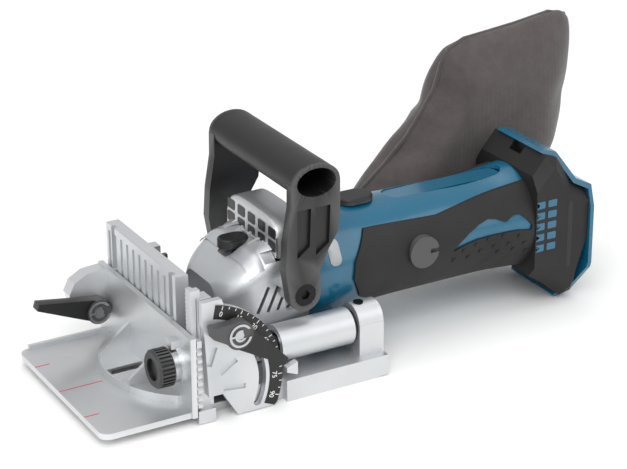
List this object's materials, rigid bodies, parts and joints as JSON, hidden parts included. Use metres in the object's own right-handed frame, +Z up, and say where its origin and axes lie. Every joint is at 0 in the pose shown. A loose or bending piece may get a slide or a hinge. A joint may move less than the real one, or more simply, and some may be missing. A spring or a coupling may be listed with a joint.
{
  "type": "cordless biscuit joiner",
  "caption": "Cordless biscuit joiner with tilting fence, sliding angle guide, plunging motor unit, D front grip, battery mount and rear dust bag.",
  "frame": {"origin": "on the sole plane, directly under the blade spindle's axis, with the motor unit at rest", "axes": "+X back from the fence to the battery mount, +Z up, +Y to the operator's left-hand far side as pictured (the side away from the height knob), -X the plunge direction"},
  "size_m": [0.3915, 0.1405, 0.1555],
  "materials": {
    "cast_alloy": "satin cast",
    "machined_steel": "machined",
    "blade_steel": "ground",
    "spring_steel": "drawn wire",
    "dark_steel": "blackened",
    "teal_plastic": "gloss",
    "black_plastic": "matte",
    "elastomer": "matte",
    "scale_black": "printed black",
    "copper": "turned",
    "carbon": "pressed carbon",
    "magnet": "ferrite",
    "bag_cloth": "woven"
  },
  "bodies": {
    "base": {"base_casting": "cast_alloy", "guide_bars": "machined_steel", "return_springs": "spring_steel", "rear_bumpers": "elastomer", "post_screws": "dark_steel", "dust_nozzle": "black_plastic", "base_studs": "machined_steel", "angle_pointer": "cast_alloy", "cover_hinge_pin": "machined_steel"},
    "cover": {"blade_cover": "cast_alloy", "cover_screws": "dark_steel"},
    "fence": {"fence_casting": "cast_alloy", "angle_quadrant": "cast_alloy", "far_quadrant": "cast_alloy", "angle_scale": "scale_black", "height_rack": "cast_alloy"},
    "guide": {"angle_guide": "cast_alloy", "knob_collar": "machined_steel", "guide_clamp_stud": "machined_steel"},
    "knob": {"height_knob": "black_plastic", "height_pinion": "machined_steel"},
    "guide_lever": {"guide_lock_lever": "black_plastic", "guide_lever_ring": "machined_steel"},
    "angle_lever": {"angle_lock_lever": "black_plastic", "angle_lever_ring": "machined_steel"},
    "motor_unit": {"gear_housing": "cast_alloy", "bearing_box": "cast_alloy", "ball_bearings": "machined_steel", "gear_housing_screws": "dark_steel", "motor_housing_near": "teal_plastic", "motor_housing_far": "teal_plastic", "grip_panel_near": "elastomer", "grip_panel_far": "elastomer", "brush_covers": "black_plastic", "carbon_brushes": "carbon", "motor_yoke": "machined_steel", "field_magnets": "magnet", "battery_mount": "black_plastic", "battery_rim": "teal_plastic", "terminal_block": "black_plastic", "battery_contacts": "copper", "switch_module": "black_plastic", "housing_screws": "dark_steel", "grip_bolts": "dark_steel", "depth_stop_rod": "machined_steel"},
    "cutter": {"spindle": "machined_steel", "bevel_gear": "machined_steel", "blade_flange": "machined_steel", "joiner_blade": "blade_steel", "blade_nut": "dark_steel"},
    "armature": {"armature_shaft": "machined_steel", "armature_core": "machined_steel", "commutator": "copper", "cooling_fan": "black_plastic", "bevel_pinion": "machined_steel"},
    "lock_button": {"shaft_lock_button": "black_plastic"},
    "switch": {"switch_slide": "black_plastic"},
    "turret": {"depth_turret": "black_plastic"},
    "handle": {"front_grip": "black_plastic"},
    "bag": {"dust_bag": "bag_cloth"}
  },
  "joints": [
    {"name": "plunge", "type": "slide", "parent": "base", "child": "motor_unit", "axis": [-1, 0, 0], "range_m": [0, 0.024], "stiffness_N_per_m": 400, "springref_m": -0.03, "deforming": ["return_springs"]},
    {"name": "fence_tilt", "type": "hinge", "parent": "base", "child": "fence", "pos_m": [-0.0528, 0, 0.021], "axis": [0, -1, 0], "range_deg": [0, 45]},
    {"name": "guide_height", "type": "slide", "parent": "fence", "child": "guide", "axis": [0, 0, 1], "range_m": [0, 0.032]},
    {"name": "knob_turn", "type": "hinge", "parent": "guide", "child": "knob", "pos_m": [-0.069, -0.0428, 0.0315], "axis": [1, 0, 0], "range_deg": [0, 382.2]},
    {"name": "guide_clamp", "type": "hinge", "parent": "guide", "child": "guide_lever", "pos_m": [-0.0666, 0.047, 0.0296], "axis": [0, 1, 0], "range_deg": [0, 50]},
    {"name": "angle_clamp", "type": "hinge", "parent": "base", "child": "angle_lever", "pos_m": [-0.03127, -0.065, 0.05292], "axis": [0, -1, 0], "range_deg": [0, 60]},
    {"name": "blade_spin", "type": "hinge", "parent": "motor_unit", "child": "cutter", "pos_m": [0, 0, 0.0079], "axis": [0, 0, 1], "continuous": true},
    {"name": "armature_spin", "type": "hinge", "parent": "motor_unit", "child": "armature", "pos_m": [0.065, 0, 0.054], "axis": [1, 0, 0], "continuous": true},
    {"name": "cover_open", "type": "hinge", "parent": "base", "child": "cover", "pos_m": [0.0584, 0, 0.0031], "axis": [0, -1, 0], "range_deg": [0, 80]},
    {"name": "shaft_lock", "type": "slide", "parent": "motor_unit", "child": "lock_button", "axis": [0, 0, -1], "range_m": [0, 0.004], "stiffness_N_per_m": 600, "springref_m": -0.003},
    {"name": "switch_slide", "type": "slide", "parent": "motor_unit", "child": "switch", "axis": [-1, 0, 0], "range_m": [0, 0.007]},
    {"name": "depth_select", "type": "hinge", "parent": "base", "child": "turret", "pos_m": [-0.033, 0.042, 0.052], "axis": [1, 0, 0], "range_deg": [0, 360]},
    {"name": "grip_tilt", "type": "hinge", "parent": "motor_unit", "child": "handle", "pos_m": [0.0196, 0, 0.0587], "axis": [0, 1, 0], "range_deg": [-20, 20]},
    {"name": "bag_pull", "type": "slide", "parent": "base", "child": "bag", "axis": [0.788, 0, 0.6157], "range_m": [0, 0.035]}
  ],
  "couplings": [
    {"joint": "knob_turn", "follows": "guide_height", "rad_per_m": 208.33},
    {"joint": "armature_spin", "follows": "blade_spin", "ratio": 2.3077}
  ]
}
